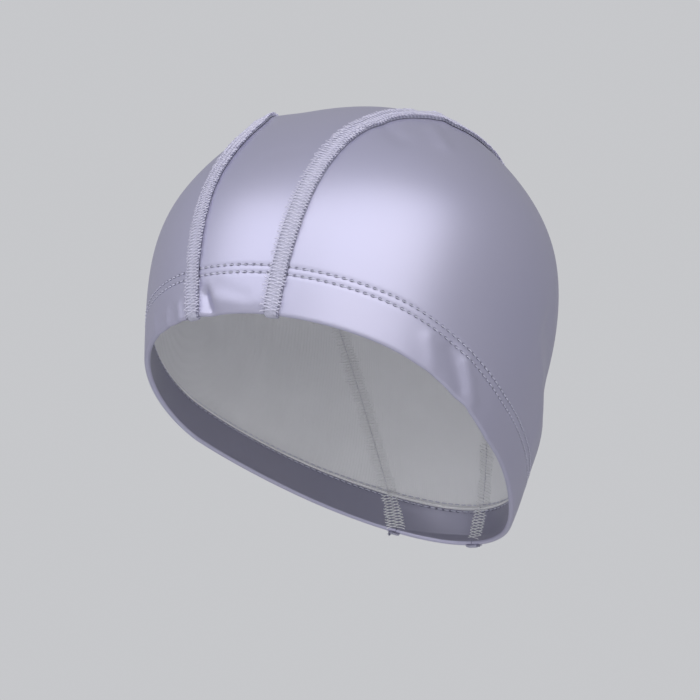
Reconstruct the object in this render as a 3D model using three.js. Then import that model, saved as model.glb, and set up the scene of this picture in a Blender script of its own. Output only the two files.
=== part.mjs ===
// A swim cap of coated stretch cloth in its worn form: a strip from brow to nape between two side
// panels, joined by two raised flat seams, with the cloth turned in along the rim as a hem.
// Millimetres. +Z is up, the brow faces -Y and the wearer's left is +X. The origin is the underside
// of the crown, where a head carries the cap.
import * as THREE from 'three';

// The dome that the cloth is stretched over
const HALF_WIDTH = 79.4;
const BROW_REACH = 81;
const NAPE_REACH = 96;
const DOME_HEIGHT = 110.3;
const CROWN_FLATTENING = 5.8;

// The cloth, its hem and its seams
const CLOTH = 1.2;
const HEM_HEIGHT = 17.5;
const HEM_EDGE = 0.6;
const SEAM_WIDTH = 7.2;
const SEAM_THICKNESS = 0.8;
const STRIP_HALF_WIDTH = 55.4;
const GAP = 0.3;

// The sizes that the widths and depths of folds are shares of
const FOLD_WIDTH = 10;
const FOLD_DEPTH = 2;

// Plan of the dome by the angle from the crown in degrees: shares of the three reaches above, and
// the share by which the plan is fuller beside the brow (below 0) or behind the ears (above 0)
const SECTIONS = [
  { angle: 0, width: 1.1, brow: 0.95, nape: 1.03, fuller: 0.005 },
  { angle: 30, width: 1.1, brow: 0.95, nape: 1.03, fuller: 0.005 },
  { angle: 60, width: 1.146, brow: 1.037, nape: 0.959, fuller: 0 },
  { angle: 90, width: 1, brow: 1, nape: 1, fuller: -0.015 },
  { angle: 120, width: 0.907, brow: 0.979, nape: 1.242, fuller: -0.051 },
];

// Height of the rim above the dome's widest level by direction from the brow (0) round to the
// nape (180), as shares of DOME_HEIGHT
const RIM = [
  { direction: 0, height: 0.005 },
  { direction: 45, height: -0.069 },
  { direction: 90, height: -0.3 },
  { direction: 135, height: -0.47 },
  { direction: 180, height: -0.538 },
];

// Half-width of the strip by place from the brow (0) to the nape (1), and how far its middle is
// shifted to the left, as shares of STRIP_HALF_WIDTH. The cap is worn turned a little at the nape.
const STRIP = [
  { along: 0, half: 0.814, shift: 0 },
  { along: 0.25, half: 0.704, shift: 0 },
  { along: 0.5, half: 1, shift: 0 },
  { along: 0.75, half: 0.95, shift: -0.42 },
  { along: 1, half: 0.93, shift: -0.65 },
];

// How far over the crown the strip is pulled straight, as a share of the way to the brow and nape
const TAUT_SHARE = 0.75;

// Creases (depth above 0) and raised folds (depth below 0). Each runs between two places, given by
// the direction in degrees (0 the brow, above 0 to the left) and the share of the way from the
// crown to the rim. Widths and depths are shares of FOLD_WIDTH and FOLD_DEPTH.
const FOLDS = [
  // Hem of the strip: a crease beside the right seam, and the rim curled in next to it
  { direction: -9.5, level: 0.95, toDirection: -7, toLevel: 1, width: 0.3, depth: 0.45 },
  { direction: -5, level: 1, toDirection: 11, toLevel: 1.01, width: 0.4, depth: 0.6 },
  // Hem of the left side: soft waves
  { direction: 58, level: 0.94, toDirection: 60.5, toLevel: 0.98, width: 0.35, depth: -0.25 },
  { direction: 65, level: 0.93, toDirection: 71, toLevel: 0.98, width: 0.35, depth: 0.4 },
  { direction: 71, level: 0.93, toDirection: 76, toLevel: 0.98, width: 0.35, depth: -0.5 },
  // Left side behind the ear: a hollow above the hem and a bulge below it
  { direction: 108, level: 0.72, toDirection: 128, toLevel: 0.78, width: 0.9, depth: 0.9 },
  { direction: 120, level: 0.86, toDirection: 134, toLevel: 0.85, width: 1.1, depth: -0.6 },
  // Crown: the corner where the strip is pulled straight over the right seam
  { direction: -72, level: 0.27, toDirection: -50, toLevel: 0.31, width: 1.1, depth: -1 },
  // Crown beside the left seam: two puckers
  { direction: 59, level: 0.34, toDirection: 61, toLevel: 0.45, width: 0.4, depth: -0.4 },
  { direction: 35, level: 0.42, toDirection: 43, toLevel: 0.48, width: 0.4, depth: 0.3 },
];

const COATED_CLOTH = { color: 0xb4b3cc, roughness: 0.38, metalness: 0.15 };
const SEAM_THREAD = { color: 0xb9b8c8, roughness: 0.7, metalness: 0 };

// The hem's part of the way from the crown to the rim, and the part of a lane in which its rows lie
const HEM_SHARE = 0.12;
const HEM_LANE = { from: 0.3, to: 1.4 };

// How fast a seam's bend fades over the lanes beside it
const BEND_FADE = 3;

// Fineness of the meshes
const SIDE_COLUMNS = 50;
const STRIP_COLUMNS = 10;
const PLAIN_ROWS = 15;
const TURN_STEPS = 4;
const HALVINGS = 30;
const PROBE = 0.006;
const LENGTH_STATIONS = 24;

const { degToRad, radToDeg } = THREE.MathUtils;

// A smooth curve through one column of a table. An end is level where the form is mirrored there,
// and otherwise keeps the slope of its last two rows.
function through(rows, key, column, place, mirrored = false) {
  const last = rows.length - 1;
  const at = Math.min(Math.max(place, rows[0][key]), rows[last][key]);
  let low = 0;
  while (low < last - 1 && at >= rows[low + 1][key]) low += 1;
  const rise = (a, b) => (rows[b][column] - rows[a][column]) / (rows[b][key] - rows[a][key]);
  const slope = (i) => {
    if (i > 0 && i < last) return rise(i - 1, i + 1);
    if (mirrored) return 0;
    return i === 0 ? rise(0, 1) : rise(last - 1, last);
  };
  const span = rows[low + 1][key] - rows[low][key];
  const t = (at - rows[low][key]) / span;
  const bend = 3 * t * t - 2 * t * t * t;
  return (1 - bend) * rows[low][column] + bend * rows[low + 1][column]
    + t * (1 - t) * (1 - t) * span * slope(low)
    - t * t * (1 - t) * span * slope(low + 1);
}

// The cap is charted on a disc: across is to the left, along runs from brow (-1) to nape (1), and
// the distance from the middle is the share of the way from the crown to the rim.
const levelOf = (place) => Math.hypot(place.across, place.along);
const directionOf = (place) => Math.atan2(place.across, -place.along);
const onChart = (level, direction) => ({
  across: level * Math.sin(direction),
  along: -level * Math.cos(direction),
});

// The smooth dome
function domePoint(place) {
  const direction = directionOf(place);
  const rimHeight = through(RIM, 'direction', 'height', radToDeg(Math.abs(direction)), true);
  const angle = levelOf(place) * Math.acos(THREE.MathUtils.clamp(rimHeight, -1, 1));
  const section = (column) => through(SECTIONS, 'angle', column, radToDeg(angle));
  const side = Math.sin(direction);
  const front = Math.cos(direction);
  const reach = front > 0 ? BROW_REACH * section('brow') : NAPE_REACH * section('nape');
  const out = (1 + section('fuller') * Math.cos(3 * direction)) * Math.sin(angle);
  return new THREE.Vector3(
    HALF_WIDTH * section('width') * side * out,
    -reach * front * out,
    DOME_HEIGHT * Math.cos(angle),
  );
}

// Length over the dome from the crown to the rim above the left ear
function sideLength() {
  let length = 0;
  for (let i = 0; i < LENGTH_STATIONS; i += 1) {
    const from = domePoint(onChart(i / LENGTH_STATIONS, Math.PI / 2));
    length += from.distanceTo(domePoint(onChart((i + 1) / LENGTH_STATIONS, Math.PI / 2)));
  }
  return length;
}

const STRIP_SHARE = STRIP_HALF_WIDTH / sideLength();
const stripSize = (column, along) => (
  STRIP_SHARE * through(STRIP, 'along', column, (along + 1) / 2)
);
const stripEdge = (side, along) => stripSize('shift', along) + side * stripSize('half', along);

// The strip is pulled straight between its seams over the crown
function tautPoint(place) {
  const point = domePoint(place);
  const fromMiddle = Math.abs(place.across - stripSize('shift', place.along));
  const toSeam = Math.min(fromMiddle / stripSize('half', place.along), 1);
  const overCrown = Math.max(1 - (place.along / TAUT_SHARE) ** 2, 0) ** 2;
  const pull = CROWN_FLATTENING * (1 - toSeam * toSeam) * overCrown;
  return point.multiplyScalar(1 - pull / point.length());
}

function normalOf(surface, place) {
  const { across, along } = place;
  const ahead = surface({ across, along: along + PROBE });
  const behind = surface({ across, along: along - PROBE });
  const left = surface({ across: across + PROBE, along });
  const right = surface({ across: across - PROBE, along });
  return left.sub(right).cross(ahead.sub(behind)).normalize();
}

const folds = FOLDS.map((fold) => ({
  line: new THREE.Line3(
    tautPoint(onChart(fold.level, degToRad(fold.direction))),
    tautPoint(onChart(fold.toLevel, degToRad(fold.toDirection))),
  ),
  width: fold.width * FOLD_WIDTH,
  depth: fold.depth * FOLD_DEPTH,
}));

// The outer face of the cloth, with its folds
function clothPoint(place) {
  const point = tautPoint(place);
  const nearest = new THREE.Vector3();
  let depth = 0;
  for (const fold of folds) {
    fold.line.closestPointToPoint(point, true, nearest);
    depth += fold.depth * Math.exp(-((nearest.distanceTo(point) / fold.width) ** 2));
  }
  return point.addScaledVector(normalOf(tautPoint, place), -depth);
}

// A point inside the wall, or outside it where the depth is below 0
function wallPoint(place, depth) {
  return clothPoint(place).addScaledVector(normalOf(clothPoint, place), -depth);
}

// The share of the way to the rim at a height above the rim, measured over the hem's part of the
// dome
function levelAbove(direction, height) {
  const higher = 1 - HEM_SHARE;
  const rim = domePoint(onChart(1, direction));
  const length = rim.distanceTo(domePoint(onChart(higher, direction))) / HEM_SHARE;
  return 1 - height / length;
}

// A lane is a line over the cap from its middle out to the rim, a place for each step from 0 to 1.
// The step at a height above the rim is found by halving.
function stepAbove(lane, height) {
  let inner = HEM_LANE.from;
  let outer = HEM_LANE.to;
  for (let i = 0; i < HALVINGS; i += 1) {
    const middle = (inner + outer) / 2;
    const place = lane(middle);
    if (levelOf(place) < levelAbove(directionOf(place), height)) inner = middle;
    else outer = middle;
  }
  return (inner + outer) / 2;
}

// The lane of a seam, towards the brow (end -1) or the nape (end 1), moved out from the strip's
// edge by offset
function seamLane(side, end, offset) {
  return (step) => {
    const along = end * step;
    const edge = stripEdge(side, along);
    const width = domePoint({ across: edge + PROBE, along })
      .distanceTo(domePoint({ across: edge - PROBE, along }));
    return { across: edge + (side * offset * 2 * PROBE) / width, along };
  };
}

// Heights above the rim and depths of the wall's inner face, from the plain cloth down to the fold.
// The turned-in cloth ends at HEM_HEIGHT and doubles the wall below it.
const HEM_ROWS = [
  { height: HEM_HEIGHT + 3 * CLOTH, depth: CLOTH },
  { height: HEM_HEIGHT, depth: CLOTH },
  { height: HEM_HEIGHT - HEM_EDGE, depth: 2 * CLOTH },
  { height: HEM_HEIGHT * 0.6, depth: 2 * CLOTH },
  { height: HEM_HEIGHT * 0.25, depth: 2 * CLOTH },
  { height: CLOTH, depth: 2 * CLOTH },
];

// The rim's fold at a distance outside the cloth, turning from the outer face (0) to the inner (1)
function turn(share, outside) {
  const radius = CLOTH + outside;
  return {
    height: CLOTH - radius * Math.sin(Math.PI * share),
    depth: CLOTH - radius * Math.cos(Math.PI * share),
  };
}

// The wall along one lane: the outer face, the fold and the inner face, as lists of points from the
// middle of the cap to the rim
function wallAlong(lane) {
  const plainEnd = stepAbove(lane, HEM_ROWS[0].height);
  const outer = [];
  const inner = [];
  for (let i = 0; i < PLAIN_ROWS; i += 1) {
    const place = lane((plainEnd * i) / PLAIN_ROWS);
    outer.push(wallPoint(place, 0));
    inner.push(wallPoint(place, CLOTH));
  }
  for (const row of HEM_ROWS) {
    const place = lane(stepAbove(lane, row.height));
    outer.push(wallPoint(place, 0));
    inner.push(wallPoint(place, row.depth));
  }
  const fold = [];
  for (let i = 1; i < TURN_STEPS; i += 1) {
    const row = turn(i / TURN_STEPS, 0);
    fold.push(wallPoint(lane(stepAbove(lane, row.height)), row.depth));
  }
  return { outer, inner, fold };
}

// A body whose triangles share their corners
class Body {
  constructor() {
    this.points = [];
    this.corners = [];
  }

  add(points) {
    return points.map((point) => this.points.push(point) - 1);
  }

  // Faces between two rows of corners, closed into a ring where asked
  band(first, second, ring = false) {
    const count = first.length - (ring ? 0 : 1);
    for (let i = 0; i < count; i += 1) {
      const next = (i + 1) % first.length;
      this.corners.push(first[i], first[next], second[next]);
      this.corners.push(first[i], second[next], second[i]);
    }
  }

  // The flat face that a row of corners outlines
  cap(outline) {
    for (let i = 1; i < outline.length - 1; i += 1) {
      this.corners.push(outline[0], outline[i], outline[i + 1]);
    }
  }

  // The end face of a wall: what lies between its outer and its inner face, and its folds
  wallEnd(wall, backwards) {
    const start = this.corners.length;
    this.band(wall.outer, wall.inner);
    this.cap([wall.outer.at(-1), ...wall.fold, wall.inner.at(-1)]);
    if (wall.firstFold) this.cap([wall.inner[0], ...wall.firstFold, wall.outer[0]]);
    if (backwards) this.corners.push(...this.corners.splice(start).reverse());
  }

  mesh(name, finish) {
    const corner = (i) => this.points[this.corners[i]];
    const cross = new THREE.Vector3();
    let volume = 0;
    for (let i = 0; i < this.corners.length; i += 3) {
      volume += cross.crossVectors(corner(i), corner(i + 1)).dot(corner(i + 2));
    }
    if (volume < 0) this.corners.reverse();
    const geometry = new THREE.BufferGeometry().setFromPoints(this.points);
    geometry.setIndex(this.corners);
    geometry.computeVertexNormals();
    const mesh = new THREE.Mesh(geometry, new THREE.MeshStandardMaterial(finish));
    mesh.name = name;
    return mesh;
  }
}

// The strip: lanes to the brow and to the nape, side by side from one seam to the other
function centrePanel() {
  const body = new Body();
  const walls = [];
  for (let column = 0; column <= STRIP_COLUMNS; column += 1) {
    const share = column / STRIP_COLUMNS;
    const [brow, nape] = [-1, 1].map((end) => {
      const [right, left] = [-1, 1].map((side) => seamLane(side, end, -GAP / 2));
      return wallAlong((step) => {
        const { across, along } = right(step);
        return { across: THREE.MathUtils.lerp(across, left(step).across, share), along };
      });
    });
    walls.push({
      outer: body.add([...brow.outer.reverse(), ...nape.outer.slice(1)]),
      fold: body.add(nape.fold),
      inner: body.add([...brow.inner.reverse(), ...nape.inner.slice(1)]),
      firstFold: body.add(brow.fold.reverse()),
    });
  }
  const ring = ({ outer, fold, inner, firstFold }) => (
    [...outer, ...fold, ...inner.toReversed(), ...firstFold]
  );
  for (let i = 0; i < STRIP_COLUMNS; i += 1) body.band(ring(walls[i]), ring(walls[i + 1]), true);
  body.wallEnd(walls[0], true);
  body.wallEnd(walls[STRIP_COLUMNS], false);
  return body.mesh('centre_panel', COATED_CLOTH);
}

// A side panel: lanes that fan out from the middle of its seam to the rim, the first and the last
// of them along the seam itself
function sidePanel(side, name) {
  const seams = [-1, 1].map((end) => seamLane(side, end, GAP / 2));
  const middle = seams[0](0);
  const rims = seams.map((lane) => lane(stepAbove(lane, 0)));
  const bends = rims.map((rim, i) => (step) => {
    const share = Math.abs(rim.along);
    return seams[i](step * share).across - middle.across - step * (rim.across - middle.across);
  });
  const body = new Body();
  const pole = body.add([0, CLOTH].map((depth) => wallPoint(middle, depth)));
  const walls = [];
  for (let column = 0; column <= SIDE_COLUMNS; column += 1) {
    const share = column / SIDE_COLUMNS;
    const direction = THREE.MathUtils.lerp(directionOf(rims[0]), directionOf(rims[1]), share);
    const rim = onChart(1, direction);
    const wall = wallAlong((step) => {
      const bend = bends[0](step) * (1 - share) ** BEND_FADE
        + bends[1](step) * share ** BEND_FADE;
      const across = middle.across + step * (rim.across - middle.across) + bend;
      return { across, along: step * rim.along };
    });
    const outer = [pole[0], ...body.add(wall.outer.slice(1))];
    const inner = [pole[1], ...body.add(wall.inner.slice(1))];
    walls.push({ outer, inner, fold: body.add(wall.fold) });
  }
  const path = ({ outer, fold, inner }) => (
    [...outer.slice(1), ...fold, ...inner.slice(1).reverse()]
  );
  for (let i = 0; i < SIDE_COLUMNS; i += 1) {
    const [here, next] = [walls[i], walls[i + 1]];
    body.cap([pole[0], next.outer[1], here.outer[1]]);
    body.band(path(next), path(here));
    body.cap([pole[1], here.inner[1], next.inner[1]]);
  }
  body.wallEnd(walls[0], false);
  body.wallEnd(walls[SIDE_COLUMNS], true);
  return body.mesh(name, COATED_CLOTH);
}

// A seam: a flat band over the joint of strip and side panel, from the fold of the rim at the brow
// to the fold at the nape. Its section runs round the band, from offsets in shares of its width.
const SEAM_SECTION = [
  { offset: -0.5, thickness: 0 },
  { offset: 0, thickness: 0 },
  { offset: 0.5, thickness: 0 },
  { offset: 0.34, thickness: 1 },
  { offset: 0, thickness: 1 },
  { offset: -0.34, thickness: 1 },
];

function seamBand(side, name) {
  const body = new Body();
  const station = (end, row) => body.add(SEAM_SECTION.map(({ offset, thickness }) => {
    const lane = seamLane(side, end, offset * SEAM_WIDTH);
    const { step, height, depth } = row(GAP + thickness * SEAM_THICKNESS, lane);
    return wallPoint(lane(height === undefined ? step : stepAbove(lane, height)), depth);
  }));
  const halves = [-1, 1].map((end) => {
    const stations = [];
    for (let i = 0; i < PLAIN_ROWS; i += 1) {
      stations.push(station(end, (outside, lane) => {
        const plainEnd = stepAbove(lane, HEM_ROWS[0].height);
        return { step: (plainEnd * i) / PLAIN_ROWS, depth: -outside };
      }));
    }
    for (const { height } of HEM_ROWS) {
      stations.push(station(end, (outside) => ({ height, depth: -outside })));
    }
    for (let i = 1; i <= TURN_STEPS / 2; i += 1) {
      stations.push(station(end, (outside) => turn(i / TURN_STEPS, outside)));
    }
    return stations;
  });
  const stations = [...halves[0].reverse(), ...halves[1].slice(1)];
  for (let i = 0; i < stations.length - 1; i += 1) body.band(stations[i], stations[i + 1], true);
  body.cap(stations[0].toReversed());
  body.cap(stations.at(-1));
  return body.mesh(name, SEAM_THREAD);
}

// The cap is modelled about the middle of its dome and hung so that the crown's underside is at
// the origin
const cap = new THREE.Group();
cap.position.z = -wallPoint({ across: 0, along: 0 }, CLOTH).z;
cap.add(
  centrePanel(),
  sidePanel(1, 'side_panel_left'),
  sidePanel(-1, 'side_panel_right'),
  seamBand(1, 'seam_left'),
  seamBand(-1, 'seam_right'),
);

export default cap;
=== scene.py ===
import math

import bpy
import numpy as np
from mathutils import Matrix, Vector


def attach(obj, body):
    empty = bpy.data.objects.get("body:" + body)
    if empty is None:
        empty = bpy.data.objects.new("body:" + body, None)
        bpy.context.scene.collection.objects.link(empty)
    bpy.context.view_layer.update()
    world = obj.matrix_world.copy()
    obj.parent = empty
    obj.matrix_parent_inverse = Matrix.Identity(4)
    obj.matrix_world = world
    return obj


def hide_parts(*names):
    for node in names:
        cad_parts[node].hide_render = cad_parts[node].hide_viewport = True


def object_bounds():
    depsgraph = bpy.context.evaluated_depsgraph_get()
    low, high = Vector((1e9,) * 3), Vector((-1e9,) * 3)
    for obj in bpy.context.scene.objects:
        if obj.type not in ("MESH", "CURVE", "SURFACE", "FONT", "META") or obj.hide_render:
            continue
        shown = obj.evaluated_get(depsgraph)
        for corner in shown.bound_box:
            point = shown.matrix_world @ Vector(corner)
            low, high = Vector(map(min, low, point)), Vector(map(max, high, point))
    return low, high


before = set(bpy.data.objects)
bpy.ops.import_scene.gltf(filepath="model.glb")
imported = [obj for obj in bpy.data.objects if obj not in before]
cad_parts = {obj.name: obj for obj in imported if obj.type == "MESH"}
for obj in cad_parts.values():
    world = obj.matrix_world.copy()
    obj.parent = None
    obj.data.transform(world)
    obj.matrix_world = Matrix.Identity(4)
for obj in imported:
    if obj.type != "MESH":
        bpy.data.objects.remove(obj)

# Swim cap of coated stretch cloth in its worn form. Metres. +Z is up, the brow faces -Y, the
# wearer's left is +X, and the origin is the underside of the crown.

CAD_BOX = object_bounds()
MM = 0.001

# The dome that the cloth is stretched over
HALF_WIDTH = 79.4 * MM
BROW_REACH = 81 * MM
NAPE_REACH = 96 * MM
DOME_HEIGHT = 110.3 * MM
CROWN_FLATTENING = 5.8 * MM

# The cloth, its hem and its seams
CLOTH = 1.2 * MM
HEM_HEIGHT = 17.5 * MM
HEM_EDGE = 0.6 * MM
SEAM_WIDTH = 7.2 * MM
SEAM_THICKNESS = 0.8 * MM
STRIP_HALF_WIDTH = 55.4 * MM
GAP = 0.3 * MM

# The sizes that the widths and depths of folds are shares of
FOLD_WIDTH = 10 * MM
FOLD_DEPTH = 2 * MM

# Hem stitches: two needle rows either side of the raw edge, the pull of each row on the cloth and
# the holes of the needle. A thread rises and dips by shares of its radius.
STITCH_PITCH = 3 * MM
STITCH_LENGTH = 2.3 * MM
STITCH_POINTS = 7
THREAD_RADIUS = 0.2 * MM
THREAD_RISE = 1.3
THREAD_DIP = 7
NEEDLE_ROWS = (HEM_HEIGHT + 1.4 * MM, HEM_HEIGHT - 1.6 * MM)
NEEDLE_PULL = 0.22 * MM
NEEDLE_PULL_WIDTH = 0.9 * MM
HOLE_LENGTH = 0.95 * MM
HOLE_WIDTH = 0.6 * MM
RAW_EDGE_RADIUS = 0.45 * MM
RAW_EDGE_DEPTH = 1.7 * CLOTH

# Seam stitches: threads that cross the band, with their reach as shares of its width and their
# seat as a share of its thickness, and the needle holes along both of its edges, painted as dots of
# shade
LOOP_PITCH = 1.3 * MM
LOOP_RADIUS = 0.18 * MM
LOOP_SLANT = 1.9
LOOP_POINTS = 11
STRIP_REACH = 0.6
SIDE_REACH = 0.5
EDGE_DROP = 0.3 * MM
THREAD_SEAT = 0.9
SEAM_HOLE_PITCH = 1.7 * MM
SEAM_HOLE_PLACE = 0.45 * SEAM_WIDTH
SEAM_HOLE_WIDTH = 0.5 * MM
SEAM_HOLE_REACH = 1.2

# How much the threads of a row differ in size, and the seed of those differences
HEM_UNEVENNESS = 0.06
SEAM_UNEVENNESS = 0.2
THREAD_SEED = 4

# Plan of the dome by the angle from the crown in degrees, as shares of the reaches above
SECTIONS = [
    dict(angle=0, width=1.1, brow=0.95, nape=1.03, fuller=0.005),
    dict(angle=30, width=1.1, brow=0.95, nape=1.03, fuller=0.005),
    dict(angle=60, width=1.146, brow=1.037, nape=0.959, fuller=0),
    dict(angle=90, width=1, brow=1, nape=1, fuller=-0.015),
    dict(angle=120, width=0.907, brow=0.979, nape=1.242, fuller=-0.051),
]

# Height of the rim above the dome's widest level by direction, 0 the brow and 180 the nape
RIM = [
    dict(direction=0, height=0.005),
    dict(direction=45, height=-0.069),
    dict(direction=90, height=-0.3),
    dict(direction=135, height=-0.47),
    dict(direction=180, height=-0.538),
]

# Half-width of the strip from the brow (0) to the nape (1) and the shift of its middle to the left,
# as shares of STRIP_HALF_WIDTH
STRIP = [
    dict(along=0, half=0.814, shift=0),
    dict(along=0.25, half=0.704, shift=0),
    dict(along=0.5, half=1, shift=0),
    dict(along=0.75, half=0.95, shift=-0.42),
    dict(along=1, half=0.93, shift=-0.65),
]

# How far from the crown the strip is pulled straight, as a share of the way to the rim
TAUT_SHARE = 0.75

# Creases (depth above 0) and raised folds (below 0) between two places on the dome. Those that the
# solids have too come first, then the finer ones.
FOLDS = [
    dict(direction=-9.5, level=0.95, to_direction=-7, to_level=1, width=0.3, depth=0.45),
    dict(direction=-5, level=1, to_direction=11, to_level=1.01, width=0.4, depth=0.6),
    dict(direction=58, level=0.94, to_direction=60.5, to_level=0.98, width=0.35, depth=-0.25),
    dict(direction=65, level=0.93, to_direction=71, to_level=0.98, width=0.35, depth=0.4),
    dict(direction=71, level=0.93, to_direction=76, to_level=0.98, width=0.35, depth=-0.5),
    dict(direction=108, level=0.72, to_direction=128, to_level=0.78, width=0.9, depth=0.9),
    dict(direction=120, level=0.86, to_direction=134, to_level=0.85, width=1.1, depth=-0.6),
    dict(direction=-72, level=0.27, to_direction=-50, to_level=0.31, width=1.1, depth=-1),
    dict(direction=59, level=0.34, to_direction=61, to_level=0.45, width=0.4, depth=-0.4),
    dict(direction=35, level=0.42, to_direction=43, to_level=0.48, width=0.4, depth=0.3),
    dict(direction=-5.5, level=0.934, to_direction=5, to_level=0.962, width=0.3, depth=0.1),
    dict(direction=-35.5, level=0.956, to_direction=-34, to_level=0.989, width=0.2, depth=-0.15),
    dict(direction=-26.5, level=0.967, to_direction=-26, to_level=0.995, width=0.2, depth=-0.15),
    dict(direction=-20.5, level=0.962, to_direction=-19.5, to_level=0.995, width=0.2, depth=-0.2),
    dict(direction=104.5, level=0.781, to_direction=112, to_level=0.797, width=0.25, depth=-0.2),
    dict(direction=-0.5, level=0.578, to_direction=9.5, to_level=0.562, width=0.3, depth=0.08),
    dict(direction=62, level=0.2, to_direction=58, to_level=0.36, width=0.3, depth=0.35),
    dict(direction=75, level=0.2, to_direction=70, to_level=0.33, width=0.35, depth=-0.35),
    dict(direction=-9, level=0.955, to_direction=-7.5, to_level=0.985, width=0.16, depth=0.3),
]

# Fineness of the meshes and of the lines that threads follow
SIDE_COLUMNS = 240
STRIP_COLUMNS = 110
PLAIN_ROWS = 56
HEM_ROWS = 40
TURN_STEPS = 8
BAND_COLUMNS = 16
BAND_SPACING = 1.2 * MM
BAND_STEPS = 400
SEAM_LINE_STEPS = 300
HEM_LINE_STEPS = 240
RAW_EDGE_STEPS = 160
TUBE_SIDES = 6
TUBE_END = 0.45
CREASE_ANGLE = 55

# The close rows end this far above the hem. From there the map's height grows to the crown by
# this many times the height of the close rows.
CLOSE_ROWS_ABOVE_HEM = 5 * MM
MAP_GROWTH = 8

# How places on the dome are found: halvings of a search for the rim and the steps it starts from,
# the step of a slope, the parts of a measured length, the share of the way to the rim that heights
# are measured over, and how fast a seam's bend fades across a side panel
HALVINGS = 26
HEM_LANE = (0.3, 1.4)
PROBE = 0.006
LENGTH_STATIONS = 24
HEM_SHARE = 0.12
BEND_FADE = 3


def through(rows, key, column, place, mirrored=False):
    """A smooth curve through one column of a table."""
    keys = np.array([row[key] for row in rows], float)
    values = np.array([row[column] for row in rows], float)
    slopes = np.zeros(len(rows))
    slopes[1:-1] = (values[2:] - values[:-2]) / (keys[2:] - keys[:-2])
    if not mirrored:
        slopes[0] = (values[1] - values[0]) / (keys[1] - keys[0])
        slopes[-1] = (values[-1] - values[-2]) / (keys[-1] - keys[-2])
    at = np.clip(place, keys[0], keys[-1])
    low = np.clip(np.searchsorted(keys, at, side="right") - 1, 0, len(rows) - 2)
    span = keys[low + 1] - keys[low]
    t = (at - keys[low]) / span
    bend = 3 * t * t - 2 * t**3
    return (
        (1 - bend) * values[low]
        + bend * values[low + 1]
        + t * (1 - t) ** 2 * span * slopes[low]
        - t * t * (1 - t) * span * slopes[low + 1]
    )


def length_of(vectors):
    return np.linalg.norm(vectors, axis=-1)


def level_of(across, along):
    return np.hypot(across, along)


def direction_of(across, along):
    return np.arctan2(across, -along)


def dome_point(across, along):
    """The smooth dome: across is to the left, along runs from brow (-1) to nape (1)."""
    direction = direction_of(across, along)
    rim = through(RIM, "direction", "height", np.degrees(np.abs(direction)), True)
    angle = level_of(across, along) * np.arccos(np.clip(rim, -1, 1))

    def section(column):
        return through(SECTIONS, "angle", column, np.degrees(angle))

    front = np.cos(direction)
    reach = np.where(front > 0, BROW_REACH * section("brow"), NAPE_REACH * section("nape"))
    out = (1 + section("fuller") * np.cos(3 * direction)) * np.sin(angle)
    side = HALF_WIDTH * section("width") * np.sin(direction) * out
    return np.stack([side, -reach * front * out, DOME_HEIGHT * np.cos(angle)], axis=-1)


def side_length():
    steps = np.linspace(0, 1, LENGTH_STATIONS + 1)
    points = dome_point(steps, steps * 0.0)
    return length_of(np.diff(points, axis=0)).sum()


STRIP_SHARE = STRIP_HALF_WIDTH / side_length()


def strip_size(column, along):
    return STRIP_SHARE * through(STRIP, "along", column, (along + 1) / 2)


def taut_point(across, along):
    """The strip is pulled straight between its seams over the crown."""
    point = dome_point(across, along)
    from_middle = np.abs(across - strip_size("shift", along))
    to_seam = np.minimum(from_middle / strip_size("half", along), 1)
    over_crown = np.maximum(1 - (along / TAUT_SHARE) ** 2, 0) ** 2
    pull = CROWN_FLATTENING * (1 - to_seam**2) * over_crown
    return point * (1 - pull / length_of(point))[..., None]


def normal_of(surface, across, along):
    ahead = surface(across, along + PROBE) - surface(across, along - PROBE)
    left = surface(across + PROBE, along) - surface(across - PROBE, along)
    normal = np.cross(left, ahead)
    return normal / length_of(normal)[..., None]


def on_dome(direction, level):
    turn = math.radians(direction)
    return taut_point(np.array(level * math.sin(turn)), np.array(-level * math.cos(turn)))


def fold_line(fold):
    start = on_dome(fold["direction"], fold["level"])
    way = on_dome(fold["to_direction"], fold["to_level"]) - start
    return start, way, fold["width"] * FOLD_WIDTH, fold["depth"] * FOLD_DEPTH


FOLD_LINES = [fold_line(fold) for fold in FOLDS]


def cloth_point(across, along):
    """The outer face of the cloth, with its folds."""
    point = taut_point(across, along)
    depth = np.zeros(np.shape(across))
    for start, way, width, fold_depth in FOLD_LINES:
        share = np.clip((point - start) @ way / (way @ way), 0, 1)
        away = length_of(point - start - share[..., None] * way)
        depth += fold_depth * np.exp(-((away / width) ** 2))
    return point - depth[..., None] * normal_of(taut_point, across, along)


def wall_point(across, along, depth):
    """A point at a depth under the cloth's outer face, or over it where the depth is below 0."""
    across, along = np.broadcast_arrays(np.asarray(across, float), np.asarray(along, float))
    depth = np.broadcast_to(depth, across.shape)
    point = cloth_point(across, along)
    point = point - depth[..., None] * normal_of(cloth_point, across, along)
    return point - CROWN_UNDERSIDE


CROWN_UNDERSIDE = np.zeros(3)
CROWN_UNDERSIDE = wall_point(0.0, 0.0, CLOTH) * [0, 0, 1]


def level_above(direction, height):
    """The share of the way to the rim at a height above the rim, measured over the dome."""
    higher = 1 - HEM_SHARE
    side, front = np.sin(direction), -np.cos(direction)
    step = dome_point(side, front) - dome_point(higher * side, higher * front)
    return 1 - height * HEM_SHARE / length_of(step)


def step_above(lane, height):
    """The step of each lane at a height above the rim, found by halving."""
    inner = np.full(np.shape(height), HEM_LANE[0])
    outer = np.full(np.shape(height), HEM_LANE[1])
    for _ in range(HALVINGS):
        middle = (inner + outer) / 2
        across, along = lane(middle)
        within = level_of(across, along) < level_above(direction_of(across, along), height)
        inner = np.where(within, middle, inner)
        outer = np.where(within, outer, middle)
    return (inner + outer) / 2


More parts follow.
